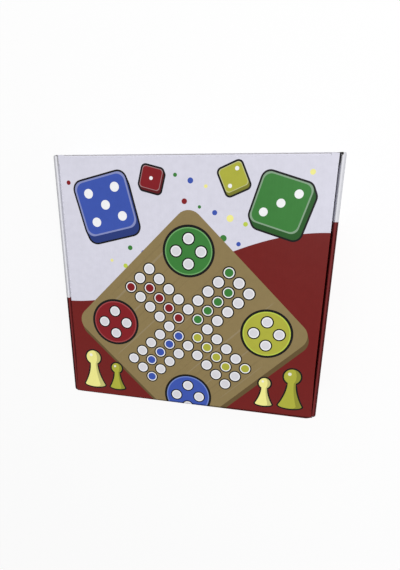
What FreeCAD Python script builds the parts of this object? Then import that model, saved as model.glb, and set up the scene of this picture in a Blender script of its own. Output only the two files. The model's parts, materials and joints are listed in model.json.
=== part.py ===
import FreeCAD, Part
import math
import os

# Ludo board game put away in its box: a folding carton of corrugated board with rolled side walls
# and a tuck-in lid, and in it the play board, the pawns, the die and the rules sheet.
# Millimetres. The origin is the centre of the box's underside. +Z is up, the lid's hinge is at -Y,
# the wall that the lid tucks into is at +Y, and +X is to the right of someone reading the lid.

# Carton, outside sizes
BOX_WIDTH = 270.0
BOX_DEPTH = 257.0
BOX_HEIGHT = 40.0

# Corrugated board and its folds
SHEET = 1.2
FOLD_RADIUS = 2.0
ROLL_RADIUS = 1.8
LAYER_GAP = 0.25
WALL_GAP = 0.3
SIDE_INSET = 0.5
EAR_LENGTH = 60.0
TAB_LENGTH = 28.0
TAB_SPACING = 130.0
TAB_LIFT = 0.2
SLOT_GAP = 0.2

# Lid and its flaps
LID_GAP = 1.9
TUCK_GAP = 0.5
CREASE_GAP = 0.2
FLAP_END_GAP = 0.5
FLAP_CORNER = 9.0
DUST_FLAP_HEIGHT = 22.0
DUST_FLAP_INSET = 8.0
DUST_FLAP_SWING = 45.0
TUCK_FLAP_LENGTH = 28.0
TUCK_FLAP_INSET = 7.0
TUCK_FLAP_LEAN = 8.0

# Play board
BOARD_GAP = 2.5
BOARD_THICKNESS = 6.0
BOARD_CORNER = 16.0
BOARD_EASE = 0.6

# Pawns
PAWN_COLOURS = ("red", "blue", "green", "yellow")
PAWNS_PER_COLOUR = 4
PAWN_HEIGHT = 26.0
PAWN_BASE_RADIUS = 7.0
PAWN_RIM_RADIUS = 1.2
PAWN_WAIST_RADIUS = 4.5
PAWN_NECK_RADIUS = 3.2
PAWN_HEAD_RADIUS = 5.0
PAWN_REST_GAP = 0.15

# The loose pieces lie on a sunflower spiral, each turned by a fixed step from the one before
GOLDEN_ANGLE = 137.508
HEADING_STEP = 160.0
SCATTER_SHARE = 0.4
SCATTER_FRONT_GAP = 5.0

# Die
DIE_SIZE = 14.0
DIE_ROUNDING = 1.6
DIE_TURN = 25.0
PIP_DIAMETER = 2.6
PIP_DEPTH = 0.5
PIP_SPACING = 3.6

# Rules sheet, a paper strip folded in three
RULES_WIDTH = 148.0
RULES_DEPTH = 62.0
RULES_LEAF = 0.3
RULES_LEAF_GAP = 0.2
RULES_BACK_GAP = 5.0

# Worked out from the sizes above
HALF_WIDTH = BOX_WIDTH / 2
HALF_DEPTH = BOX_DEPTH / 2
ROLL_WIDTH = 3 * SHEET + 2 * LAYER_GAP
OUTER_HALF = HALF_DEPTH - SIDE_INSET
INNER_HALF = HALF_DEPTH - SHEET - WALL_GAP
WALL_TOP = BOX_HEIGHT - ROLL_RADIUS - LAYER_GAP
EAR_FACE = HALF_WIDTH - SHEET - LAYER_GAP
EAR_FOOT = FOLD_RADIUS + LAYER_GAP
END_WALL_HALF = EAR_FACE - FOLD_RADIUS
INNER_FACE = HALF_WIDTH - ROLL_WIDTH

CREASE_HEIGHT = BOX_HEIGHT - SHEET / 2
LID_HALF = INNER_FACE - LID_GAP
LID_FRONT = HALF_DEPTH - SHEET - TUCK_GAP
HINGE_Y = SHEET / 2 - HALF_DEPTH
TUCK_CREASE_Y = LID_FRONT - SHEET / 2
DUST_CREASE_X = LID_HALF - SHEET / 2
DUST_FLAP_FRONT = LID_FRONT - DUST_FLAP_INSET
DUST_FLAP_BACK = HINGE_Y + DUST_FLAP_INSET
CREASE_CLEARANCE = SHEET / 2 + CREASE_GAP

TUCK_TIP_Y = (
    TUCK_CREASE_Y
    - TUCK_FLAP_LENGTH * math.sin(math.radians(TUCK_FLAP_LEAN))
    - SHEET / 2 * math.cos(math.radians(TUCK_FLAP_LEAN))
)
ROOM_FRONT = TUCK_TIP_Y - BOARD_GAP
ROOM_BACK = SHEET - HALF_DEPTH + BOARD_GAP
ROOM_WIDTH = 2 * (LID_HALF - SHEET - BOARD_GAP)
BOARD_SIDE = min(ROOM_WIDTH, ROOM_FRONT - ROOM_BACK)
BOARD_Y = (ROOM_FRONT + ROOM_BACK) / 2
BOARD_FRONT = BOARD_Y + BOARD_SIDE / 2
BOARD_BACK = BOARD_Y - BOARD_SIDE / 2
BOARD_TOP = SHEET + BOARD_THICKNESS

SCATTER_STEP = SCATTER_SHARE * (PAWN_HEIGHT + 2 * PAWN_BASE_RADIUS)
PAWN_COUNT = len(PAWN_COLOURS) * PAWNS_PER_COLOUR
SCATTER_REACH = SCATTER_STEP * math.sqrt(PAWN_COUNT + 1) + PAWN_HEIGHT / 2
SCATTER_Y = BOARD_FRONT - SCATTER_FRONT_GAP - SCATTER_REACH

X_AXIS = FreeCAD.Vector(1, 0, 0)
Y_AXIS = FreeCAD.Vector(0, 1, 0)
Z_AXIS = FreeCAD.Vector(0, 0, 1)
ORIGIN = FreeCAD.Vector(0, 0, 0)


def block(low, high):
    """Rectangular block between two opposite corners."""
    size = [top - bottom for bottom, top in zip(low, high)]
    return Part.makeBox(*size, FreeCAD.Vector(*low))


def turned(shape, axis, degrees, pivot=ORIGIN):
    copy = shape.copy()
    copy.rotate(pivot, axis, degrees)
    return copy


def moved(shape, x, y, z):
    copy = shape.copy()
    copy.translate(FreeCAD.Vector(x, y, z))
    return copy


def mirrored_in_x(shape):
    return shape.mirror(ORIGIN, X_AXIS)


def mirrored_in_y(shape):
    return shape.mirror(ORIGIN, Y_AXIS)


def joined(shapes):
    """One solid from shapes that touch or overlap."""
    return shapes[0].fuse(shapes[1:]).removeSplitter().Solids[0]


def outline_face(outline):
    """Flat face inside a closed outline of points and (middle, end) pairs, which are arcs."""
    edges = []
    start = FreeCAD.Vector(*outline[0])
    here = start
    for step in outline[1:]:
        if isinstance(step[0], tuple):
            middle, there = (FreeCAD.Vector(*point) for point in step)
            edges.append(Part.Arc(here, middle, there).toShape())
        else:
            there = FreeCAD.Vector(*step)
            edges.append(Part.LineSegment(here, there).toShape())
        here = there
    edges.append(Part.LineSegment(here, start).toShape())
    return Part.Face(Part.Wire(edges))


def prism(outline, sweep):
    return outline_face(outline).extrude(FreeCAD.Vector(*sweep))


def on_circle(centre, radius, degrees):
    """Point of a circle, in the two directions that the centre is given in."""
    angle = math.radians(degrees)
    return centre[0] + radius * math.cos(angle), centre[1] + radius * math.sin(angle)


def folded_wall(reach, half_length, top):
    """Wall at +X with the fold that joins it to the base, swept along Y."""
    bend = (reach - FOLD_RADIUS, FOLD_RADIUS)
    inner = FOLD_RADIUS - SHEET

    def at(point):
        return point[0], -half_length, point[1]

    outline = [
        at((reach, top)),
        at((reach, FOLD_RADIUS)),
        (at(on_circle(bend, FOLD_RADIUS, -45)), at(on_circle(bend, FOLD_RADIUS, -90))),
        at(on_circle(bend, inner, -90)),
        (at(on_circle(bend, inner, -45)), at(on_circle(bend, inner, 0))),
        at((reach - SHEET, top)),
    ]
    return prism(outline, (0, 2 * half_length, 0))


def corner_ear():
    """Ear at +X, +Y: it folds off the end of the tuck wall and lies between the side wall's layers."""
    bend = (END_WALL_HALF, HALF_DEPTH - FOLD_RADIUS)
    inner = FOLD_RADIUS - SHEET
    tip = HALF_DEPTH - EAR_LENGTH

    def at(point):
        return point[0], point[1], EAR_FOOT

    outline = [
        at(on_circle(bend, FOLD_RADIUS, 90)),
        (at(on_circle(bend, FOLD_RADIUS, 45)), at(on_circle(bend, FOLD_RADIUS, 0))),
        at((EAR_FACE, tip)),
        at((EAR_FACE - SHEET, tip)),
        at(on_circle(bend, inner, 0)),
        (at(on_circle(bend, inner, 45)), at(on_circle(bend, inner, 90))),
    ]
    return prism(outline, (0, 0, WALL_TOP - EAR_FOOT))


def side_roll():
    """Double fold along the top of the side wall at +X."""
    spring = BOX_HEIGHT - ROLL_RADIUS
    outer_bend = (HALF_WIDTH - ROLL_RADIUS, spring)
    inner_bend = (INNER_FACE + ROLL_RADIUS, spring)
    inside = ROLL_RADIUS - SHEET

    def at(point):
        return point[0], -OUTER_HALF, point[1]

    outline = [
        at(on_circle(outer_bend, ROLL_RADIUS, 0)),
        (at(on_circle(outer_bend, ROLL_RADIUS, 45)), at(on_circle(outer_bend, ROLL_RADIUS, 90))),
        at(on_circle(inner_bend, ROLL_RADIUS, 90)),
        (at(on_circle(inner_bend, ROLL_RADIUS, 135)), at(on_circle(inner_bend, ROLL_RADIUS, 180))),
        at(on_circle(inner_bend, inside, 180)),
        (at(on_circle(inner_bend, inside, 135)), at(on_circle(inner_bend, inside, 90))),
        at(on_circle(outer_bend, inside, 90)),
        (at(on_circle(outer_bend, inside, 45)), at(on_circle(outer_bend, inside, 0))),
    ]
    return prism(outline, (0, 2 * OUTER_HALF, 0))


def tab_centres():
    return (-TAB_SPACING / 2, TAB_SPACING / 2)


def side_inner():
    """Inner layer of the side wall at +X, with the tabs that lock it into the base."""
    low_x = INNER_FACE
    high_x = INNER_FACE + SHEET
    foot = SHEET + LAYER_GAP
    panel = block((low_x, -INNER_HALF, foot), (high_x, INNER_HALF, BOX_HEIGHT - ROLL_RADIUS))
    half = TAB_LENGTH / 2
    tabs = [block((low_x, y - half, TAB_LIFT), (high_x, y + half, foot)) for y in tab_centres()]
    return joined([panel] + tabs)


def base_panel():
    """Floor of the box, with a slot for each lock tab."""
    reach_x = HALF_WIDTH - FOLD_RADIUS
    reach_y = HALF_DEPTH - FOLD_RADIUS
    floor = block((-reach_x, -reach_y, 0), (reach_x, reach_y, SHEET))
    half = TAB_LENGTH / 2 + SLOT_GAP
    slots = []
    for y in tab_centres():
        low = (INNER_FACE - SLOT_GAP, y - half, 0)
        high = (INNER_FACE + SHEET + SLOT_GAP, y + half, SHEET)
        slot = block(low, high)
        slots.extend((slot, mirrored_in_x(slot)))
    return floor.cut(slots)


def hanging_flap(half_width, length):
    """Flap that hangs from a crease along Y at the origin, with a round edge on the crease."""
    corner = min(FLAP_CORNER, length / 2)

    def at(y, z):
        return -SHEET / 2, y, z

    def corner_arc(centre, first):
        return tuple(at(*on_circle(centre, corner, first + turn)) for turn in (45, 90))

    left_centre = (corner - half_width, corner - length)
    right_centre = (half_width - corner, corner - length)
    outline = [
        at(-half_width, 0),
        at(-half_width, corner - length),
        corner_arc(left_centre, 180),
        at(half_width - corner, -length),
        corner_arc(right_centre, 270),
        at(half_width, 0),
    ]
    plate = prism(outline, (SHEET, 0, 0))
    edge = Part.makeCylinder(SHEET / 2, 2 * half_width, FreeCAD.Vector(0, -half_width, 0), Y_AXIS)
    return joined([plate, edge])


def crease_cut(half_width, swing):
    """Room that a flap with its crease along Y at the origin needs in the lid, folded in by swing."""
    angle = math.radians(swing)
    shoulder = CREASE_CLEARANCE * (1 - math.cos(angle)) / math.sin(angle)
    depth = -SHEET
    toe = (depth * math.sin(angle) - CREASE_CLEARANCE) / math.cos(angle)
    outline = [
        (-CREASE_CLEARANCE, -half_width, SHEET),
        (-CREASE_CLEARANCE, -half_width, shoulder),
        (toe, -half_width, depth),
        (SHEET, -half_width, depth),
        (SHEET, -half_width, SHEET),
    ]
    return prism(outline, (0, 2 * half_width, 0))


def at_dust_crease(shape):
    """From the crease along Y at the origin to the right-hand edge of the lid."""
    return moved(shape, DUST_CREASE_X, (DUST_FLAP_FRONT + DUST_FLAP_BACK) / 2, CREASE_HEIGHT)


def at_tuck_crease(shape):
    """From the crease along Y at the origin to the tuck edge of the lid."""
    return moved(turned(shape, Z_AXIS, 90), 0, TUCK_CREASE_Y, CREASE_HEIGHT)


def dust_flap_half():
    return (DUST_FLAP_FRONT - DUST_FLAP_BACK) / 2


def tuck_flap_half():
    return LID_HALF - TUCK_FLAP_INSET


def lid_panel():
    """Lid with a round edge on its hinge and room for its three flaps."""
    panel = block((-LID_HALF, HINGE_Y, BOX_HEIGHT - SHEET), (LID_HALF, LID_FRONT, BOX_HEIGHT))
    hinge_end = FreeCAD.Vector(-LID_HALF, HINGE_Y, CREASE_HEIGHT)
    hinge_edge = Part.makeCylinder(SHEET / 2, 2 * LID_HALF, hinge_end, X_AXIS)
    side_cut = at_dust_crease(crease_cut(dust_flap_half() + FLAP_END_GAP, DUST_FLAP_SWING))
    tuck_cut = at_tuck_crease(crease_cut(tuck_flap_half() + FLAP_END_GAP, TUCK_FLAP_LEAN))
    return joined([panel, hinge_edge]).cut([side_cut, mirrored_in_x(side_cut), tuck_cut])


def tuck_flap():
    """Flap that goes down inside the tuck wall, leaning inwards by its own spring."""
    flap = turned(hanging_flap(tuck_flap_half(), TUCK_FLAP_LENGTH), Y_AXIS, TUCK_FLAP_LEAN)
    return at_tuck_crease(flap)


def play_board():
    half = BOARD_SIDE / 2
    slab = block((-half, BOARD_Y - half, SHEET), (half, BOARD_Y + half, BOARD_TOP))
    upright = [edge for edge in slab.Edges if edge.BoundBox.ZLength > BOARD_THICKNESS / 2]
    slab = slab.makeFillet(BOARD_CORNER, upright)
    rims = [edge for edge in slab.Edges if edge.BoundBox.ZLength < BOARD_THICKNESS / 2]
    return slab.makeFillet(BOARD_EASE, rims)


def upright_pawn():
    """Pawn on its base at the origin: a flared skirt and a ball head, turned about Z."""
    head_centre = PAWN_HEIGHT - PAWN_HEAD_RADIUS
    neck = head_centre - math.sqrt(PAWN_HEAD_RADIUS**2 - PAWN_NECK_RADIUS**2)
    rim_centre = (PAWN_BASE_RADIUS - PAWN_RIM_RADIUS, PAWN_RIM_RADIUS)

    def at(point):
        return point[0], 0, point[1]

    outline = [
        (0, 0, 0),
        at((rim_centre[0], 0)),
        (at(on_circle(rim_centre, PAWN_RIM_RADIUS, -45)), at(on_circle(rim_centre, PAWN_RIM_RADIUS, 0))),
        (at((PAWN_WAIST_RADIUS, (neck + PAWN_RIM_RADIUS) / 2)), at((PAWN_NECK_RADIUS, neck))),
        (at((PAWN_HEAD_RADIUS, head_centre)), at((0, PAWN_HEIGHT))),
    ]
    return outline_face(outline).revolve(ORIGIN, Z_AXIS, 360)


def scatter_spot(number):
    """Place and heading of one loose piece on the play board."""
    distance = SCATTER_STEP * math.sqrt(number + 1)
    x, y = on_circle((0, SCATTER_Y), distance, GOLDEN_ANGLE * number)
    return x, y, HEADING_STEP * number


def lying_pawn(number):
    """Pawn on its side, resting on the rim of its base and on its head."""
    head_centre = PAWN_HEIGHT - PAWN_HEAD_RADIUS
    rim_reach = PAWN_BASE_RADIUS - PAWN_RIM_RADIUS
    along = head_centre - PAWN_RIM_RADIUS
    slope = math.atan2(rim_reach, along)
    tilt = slope - math.asin((PAWN_HEAD_RADIUS - PAWN_RIM_RADIUS) / math.hypot(rim_reach, along))
    lift = PAWN_RIM_RADIUS * (1 + math.sin(tilt)) + rim_reach * math.cos(tilt)
    x, y, heading = scatter_spot(number)
    pawn = turned(upright_pawn(), Y_AXIS, 90 + math.degrees(tilt))
    pawn = moved(pawn, -PAWN_HEIGHT / 2 * math.cos(tilt), 0, lift)
    return moved(turned(pawn, Z_AXIS, heading), x, y, BOARD_TOP + PAWN_REST_GAP)


def pip_places(count):
    """Places of the pips on one face, from its centre."""
    step = PIP_SPACING
    places = [(0, 0)] if count % 2 else []
    if count > 1:
        places += [(-step, -step), (step, step)]
    if count > 3:
        places += [(-step, step), (step, -step)]
    if count > 5:
        places += [(-step, 0), (step, 0)]
    return places


def die():
    """Die with rounded edges and a hollow for each pip. Opposite faces add up to seven."""
    half = DIE_SIZE / 2
    cube = block((-half, -half, -half), (half, half, half))
    cube = cube.makeFillet(DIE_ROUNDING, cube.Edges)
    ball_radius = (PIP_DIAMETER**2 / 4 + PIP_DEPTH**2) / (2 * PIP_DEPTH)
    ball_height = half + ball_radius - PIP_DEPTH
    faces = (
        (6, X_AXIS, 0),
        (2, X_AXIS, 90),
        (1, X_AXIS, 180),
        (5, X_AXIS, 270),
        (3, Y_AXIS, 90),
        (4, Y_AXIS, 270),
    )
    balls = []
    for count, axis, degrees in faces:
        for x, y in pip_places(count):
            ball = Part.makeSphere(ball_radius, FreeCAD.Vector(x, y, ball_height))
            balls.append(turned(ball, axis, degrees))
    x, y, _ = scatter_spot(0)
    return moved(turned(cube.cut(balls), Z_AXIS, DIE_TURN), x, y, BOARD_TOP + half)


def rules_sheet():
    """Paper strip folded in three, lying on the board behind the loose pieces."""
    half = RULES_WIDTH / 2
    back = BOARD_BACK + RULES_BACK_GAP
    front = back + RULES_DEPTH
    pitch = RULES_LEAF + RULES_LEAF_GAP
    pieces = []
    for leaf in range(3):
        foot = BOARD_TOP + leaf * pitch
        pieces.append(block((-half, back, foot), (half, front, foot + RULES_LEAF)))
    for fold, edge in enumerate((front - RULES_LEAF, back)):
        foot = BOARD_TOP + fold * pitch
        top = foot + pitch + RULES_LEAF
        pieces.append(block((-half, edge, foot), (half, edge + RULES_LEAF, top)))
    return joined(pieces)


def carton_nodes():
    side_outer = folded_wall(HALF_WIDTH, OUTER_HALF, BOX_HEIGHT - ROLL_RADIUS)
    end_wall = folded_wall(HALF_DEPTH, END_WALL_HALF, WALL_TOP)
    nodes = {
        "base_panel": base_panel(),
        "tuck_wall": turned(end_wall, Z_AXIS, 90),
        "hinge_wall": turned(end_wall, Z_AXIS, 270),
    }
    layers = {"side_outer": side_outer, "side_roll": side_roll(), "side_inner": side_inner()}
    for name, shape in layers.items():
        nodes["right_" + name] = shape
        nodes["left_" + name] = mirrored_in_x(shape)
    ear = corner_ear()
    nodes["right_tuck_ear"] = ear
    nodes["left_tuck_ear"] = mirrored_in_x(ear)
    nodes["right_hinge_ear"] = mirrored_in_y(ear)
    nodes["left_hinge_ear"] = mirrored_in_y(mirrored_in_x(ear))
    return nodes


def lid_nodes():
    right_flap = at_dust_crease(hanging_flap(dust_flap_half(), DUST_FLAP_HEIGHT))
    return {
        "lid_panel": lid_panel(),
        "tuck_flap": tuck_flap(),
        "right_dust_flap": right_flap,
        "left_dust_flap": mirrored_in_x(right_flap),
    }


def content_nodes():
    nodes = {"play_board": play_board(), "die": die(), "rules_sheet": rules_sheet()}
    for index in range(PAWN_COUNT):
        colour = PAWN_COLOURS[index % len(PAWN_COLOURS)]
        place = index // len(PAWN_COLOURS) + 1
        nodes[f"{colour}_pawn_{place}"] = lying_pawn(index + 1)
    return nodes


def main():
    os.makedirs("parts", exist_ok=True)
    nodes = {**carton_nodes(), **lid_nodes(), **content_nodes()}
    for name, shape in nodes.items():
        shape.exportStep(f"parts/{name}.step")
        box = shape.optimalBoundingBox()
        size = [round(value, 2) for value in (box.XLength, box.YLength, box.ZLength)]
        print(name, len(shape.Solids), shape.isValid(), round(shape.Volume, 1), size)


main()
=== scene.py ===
import json
from math import asin, atan2, copysign, cos, degrees, dist, pi, radians, sin, sqrt

import bmesh
import bpy
from mathutils import Matrix, Vector
from mathutils.geometry import convex_hull_2d, delaunay_2d_cdt


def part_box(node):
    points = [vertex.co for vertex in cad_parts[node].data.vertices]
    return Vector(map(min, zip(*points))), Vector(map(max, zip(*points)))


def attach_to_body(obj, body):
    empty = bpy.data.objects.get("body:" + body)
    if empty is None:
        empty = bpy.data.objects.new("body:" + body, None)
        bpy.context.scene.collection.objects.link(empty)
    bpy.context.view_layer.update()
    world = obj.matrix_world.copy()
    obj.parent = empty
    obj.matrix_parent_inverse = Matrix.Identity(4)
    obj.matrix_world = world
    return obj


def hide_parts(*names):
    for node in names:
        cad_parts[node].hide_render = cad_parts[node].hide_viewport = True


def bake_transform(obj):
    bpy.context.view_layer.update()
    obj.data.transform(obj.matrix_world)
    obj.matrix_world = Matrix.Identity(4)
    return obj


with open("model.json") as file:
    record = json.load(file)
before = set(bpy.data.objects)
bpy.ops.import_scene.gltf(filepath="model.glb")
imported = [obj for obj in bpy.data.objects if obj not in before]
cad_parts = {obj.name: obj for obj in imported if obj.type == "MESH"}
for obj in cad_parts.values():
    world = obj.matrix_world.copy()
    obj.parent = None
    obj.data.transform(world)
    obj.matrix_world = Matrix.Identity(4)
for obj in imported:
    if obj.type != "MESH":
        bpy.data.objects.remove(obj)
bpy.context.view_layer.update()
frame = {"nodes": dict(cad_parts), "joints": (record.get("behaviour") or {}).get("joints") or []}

# Looks of a ludo game in its box. Sizes are millimetres, turned into metres as each mesh is made.
MM = 0.001


def node_box(node):
    """Lowest and highest corner of a CAD node."""
    low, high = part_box(node)
    return low / MM, high / MM


def joint_place(name):
    joint = next(joint for joint in frame["joints"] if joint["name"] == name)
    return Vector(joint["pos_m"]) / MM


# Sizes read from the frame
LID_LOW, LID_HIGH = node_box("lid_panel")
SHEET = LID_HIGH.z - LID_LOW.z
BOX_TOP = LID_HIGH.z
LID_HALF = LID_HIGH.x
HINGE = joint_place("lid_hinge")
TUCK_CREASE = joint_place("tuck_flap_fold")
DUST_CREASE = joint_place("right_dust_flap_fold")
HALF_WIDTH, OUTER_HALF, _ = node_box("right_side_outer")[1]
INNER_LOW, INNER_HIGH = node_box("right_side_inner")
WALL_HALF, HALF_DEPTH, WALL_TOP = node_box("tuck_wall")[1]
BASE_HIGH = node_box("base_panel")[1]
EAR_LOW, EAR_HIGH = node_box("right_tuck_ear")
DUST_LOW, DUST_HIGH = node_box("right_dust_flap")
TUCK_FLAP_HALF = node_box("tuck_flap")[1].x
BOARD_LOW, BOARD_HIGH = node_box("play_board")
DIE_LOW, DIE_HIGH = node_box("die")
RULES_LOW, RULES_HIGH = node_box("rules_sheet")

# Folds of the carton, as in the CAD model
FOLD_RADIUS = 2.0
OUTER_ROLL = 2.6
INNER_ROLL = 1.0
INNER_FOOT = SHEET + 0.25
TAB_LENGTH = 28.0
TAB_CENTRES = (-65.0, 65.0)
SLOT_GAP = 0.2
CREASE_CLEARANCE = SHEET / 2 + 0.2
CREASE_BEND = BOX_TOP - HINGE.z
FLAP_END_GAP = 0.5
CREASE_SPARE = FLAP_END_GAP - 0.1
FLAP_CORNER = 9.0
TUCK_FLAP_LENGTH = 28.0
TUCK_FLAP_LEAN = 8.0

# Edges of the lid, which is cut back where its flaps are creased
HINGE_HALF = INNER_LOW.x - 0.2
LID_SIDE = DUST_CREASE.x - CREASE_CLEARANCE
LID_FRONT = TUCK_CREASE.y - CREASE_CLEARANCE
LID_CORNER = LID_HIGH.y + 0.8
FLAP_FRONT = DUST_HIGH.y + FLAP_END_GAP
FLAP_BACK = DUST_LOW.y - FLAP_END_GAP
FLAP_HALF = TUCK_FLAP_HALF + FLAP_END_GAP

# Layers of the corrugated board
LINER = 0.22
MEDIUM = 0.2
FLUTE_PITCH = 3.0
FLUTE_STEPS = 10
WALL_RUNS = 10
FLAP_RUNS = 14
DUST_RUNS = 30
CREASE_SHELL = 0.45
BASE_CORE = INNER_LOW.x - 1.0
SHARP_ANGLE = 32

# The ends of the rolled side walls are crushed, scuffed and darkened with painted shade, and the roll is cut
# back by the tuck wall
CRUSH_LENGTH = 2.4
CRUSH_STEPS = (0.0, 0.4, 0.65, 0.83, 0.94)
CRUSH_IN = 1.3
CRUSH_DOWN = 0.5
CRUSH_DEPTH = 3.5
END_WEAR_AND_SHADE = 1.6
END_WEAR_AND_SHADE_HOLD = 1.3
ROLL_CUT_RUN = 2.0
ROLL_STEP = 1.0

# What differs between the left side, -1, and the right side, 1
SIDES = {"left": -1, "right": 1}
ROLL_CUT = {-1: 0.6, 1: 2.2}
# The left side's folds get more painted shade, and more wear, because they are turned from the lamp on the
# right
SIDE_WEAR_AND_SHADE = {-1: 1.35, 1: 1.0}
WEAR_AND_SHADE_REACH = {-1: 0.8, 1: 0.0}
CORNER_EASE = {-1: 5.0, 1: 0.0}
WALL_EDGE = {-1: -16.0, 1: 70.5}

# Squeezed edges: over what length, by what share of the thickness, and towards what share of its depth.
# The stops are where the mesh is divided there, from the edge.
EDGE_PINCH = (1.5, 0.6, 0.85)
EDGE_STOPS = (1.5, 1.05, 0.6)
CREASE_PINCH = (2.4, 0.75, 0.0)
CREASE_STOPS = (2.4, 1.8, 1.2, 0.6)
CORNER_PINCH = (7.0, 0.88, 0.0)

# The dust flaps spring out near the hinge. The tuck flap bulges, and so does the hinge, more on its right
DUST_FLARE = 1.2
DUST_FLARE_LENGTH = 46.0
HINGE_TURN = 150.0
HINGE_BULGE = 1.1
HINGE_SKEW = 0.75
HINGE_BULGE_END = 6.5
HINGE_END_SHARE = 0.15
SHOULDER_SHARES = (0.84, 0.94)
TUCK_BULGE = 0.42
TUCK_BULGE_LENGTH = 8.0
FADE_STEPS = 6
WALL_STEP = 4.0
WALL_STEPS = 7


def srgb(*levels):
    """Linear colour of one written from 0 to 255."""
    shares = [level / 255 for level in levels]
    linear = [share / 12.92 if share <= 0.04045 else ((share + 0.055) / 1.055) ** 2.4 for share in shares]
    return (*linear, 1.0)


# Colours
PAPER = srgb(216, 215, 228)
FOLD_PAPER = srgb(228, 228, 234)
DEEP_RED = srgb(110, 30, 28)
FOLD_RED = srgb(116, 42, 42)
TAN = srgb(139, 121, 82)
DARK_TAN = srgb(98, 80, 50)
SAWN_WOOD = srgb(150, 122, 84)
RED = srgb(128, 30, 36)
BLUE = srgb(62, 86, 172)
GREEN = srgb(60, 124, 58)
LIME = srgb(173, 174, 64)
BRIGHT_LIME = srgb(188, 205, 80)
PALE_YELLOW = srgb(240, 235, 145)
BLACK = srgb(12, 11, 12)
WHITE = srgb(244, 244, 246)
SPOT_GREY = srgb(216, 215, 221)
RAW_EDGE = srgb(240, 239, 236)
FLUTE_PAPER = srgb(232, 229, 222)
INSIDE_PAPER = srgb(205, 198, 186)
PRINT_GREY = srgb(122, 122, 126)
RULES_PAPER = srgb(238, 236, 230)
DIE_WHITE = srgb(232, 230, 222)
PIP_PAINT = srgb(24, 24, 28)
PAWN_PLASTICS = {
    "red": RED, "blue": srgb(52, 70, 140), "green": srgb(50, 122, 56), "yellow": srgb(205, 200, 62),
}
TEAM_INKS = (RED, GREEN, LIME, BLUE)
TEAM_RIMS = (srgb(160, 70, 72), srgb(112, 168, 104), BRIGHT_LIME, srgb(116, 138, 204))

# Print of the carton
FIELD_MIDDLE = 21.0
FIELD_SWING = 40.0
BLEED = 1.0
INNER_BLEED = 12.0
PICTURE_CENTRE = (0.0, -40.0)
PICTURE_HALF = 88.0
PICTURE_CORNER = 14.0
PICTURE_TURN = 45
PICTURE_EDGE = (1.5, -5.0)
PICTURE_PITCH = 14.2
OUTLINE = 1.7
DICE = (
    ((-83.0, 82.0), 27.0, 14.0, 5, BLUE),
    ((84.0, 86.0), 23.0, -17.0, 3, GREEN),
    ((41.0, 108.0), 11.0, 24.0, 2, LIME),
    ((-36.0, 107.0), 10.0, -14.0, 1, RED),
)
PAWNS = (
    ((-108.0, -121.0), 46.0, PALE_YELLOW),
    ((-81.0, -121.0), 33.0, LIME),
    ((108.0, -121.0), 46.0, LIME),
    ((81.0, -121.0), 33.0, PALE_YELLOW),
)
WALL_SPOTS = 8
WALL_SPOT_SPACING = 25.0
WALL_SPOT_RADII = (6.4, 5.8, 4.7)

# Dots strewn over the white field, clear of its edges and of the dice
DOTS = 46
DOT_INKS = (GREEN, BRIGHT_LIME, BLUE, RED, PALE_YELLOW)
DOT_REACH = 126
DOT_TOP = 118
DOT_MARGIN = 6
DIE_CLEARANCE = 1.45

# Track of the game, in steps from one spot to the next
HOME_PLACE = 3.95
HOME_SPOT = 0.62
HOME_RADII = (1.82, 1.65, 1.57)
SPOT_RADII = (0.46, 0.37, 0.3)

# Shares of a whole that jump about evenly when they are counted up
JUMPS = (0.618, 0.7549, 0.5698)

# Play board, die and rules sheet
BOARD_CORNER = 16.0
BOARD_EASE = 0.6
EASE_STEPS = 4
BOARD_PITCH = 20.2
DIE_TURN = 25.0
DIE_FACES = ((6, "X", 0), (2, "X", 90), (1, "X", 180), (5, "X", 270), (3, "Y", 90), (4, "Y", 270))
PIP_DIAMETER = 2.6
PIP_DEPTH = 0.5
PIP_SPACING = 3.6
PAINT_LIFT = 0.02
PAPER_LEAF = 0.12
PAPER_BOW = 1.1
BOW_STEPS = 10
RULES_TRACK_INSET = 31
RULES_TRACK_PITCH = 4.0
RULES_COLUMNS = ((-8.0, 36.0), (33.0, 34.0))
RULES_LINES = 7
RULES_LINE = 1.3
RULES_LINE_PITCH = 6.4
RULES_FIRST_LINE = -20
SHORT_LINE = 0.72

# Stage, light and camera. The floor and the lamp are in metres
FLOOR_HALF = 6.0
FLOOR_DROP = 0.2 * MM
FLOOR_GREY = 0.38
FLOOR_WHITE = 0.98
FLOOR_FADE = (0.4, 2.2)
FLOOR_GLOW = (0.68, 1.0)
SKY_STRENGTH = 0.3
LAMP_PLACE = Vector((1.92, 1.76, 4.4))
LAMP_SIZE = 1.76
LAMP_POWER = 206.0
CAMERA_PLACE = Vector((64.14, 87.58, 345.18))
CAMERA_RIGHT = Vector((0.98497, 0.01316, -0.17220))
CAMERA_UP = Vector((-0.05620, 0.96725, -0.24752))
FOCAL_PIXELS = 323.516
IMAGE_LONG_SIDE = 570
SENSOR = 36.0
NEAREST = 0.01


# Materials

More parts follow.
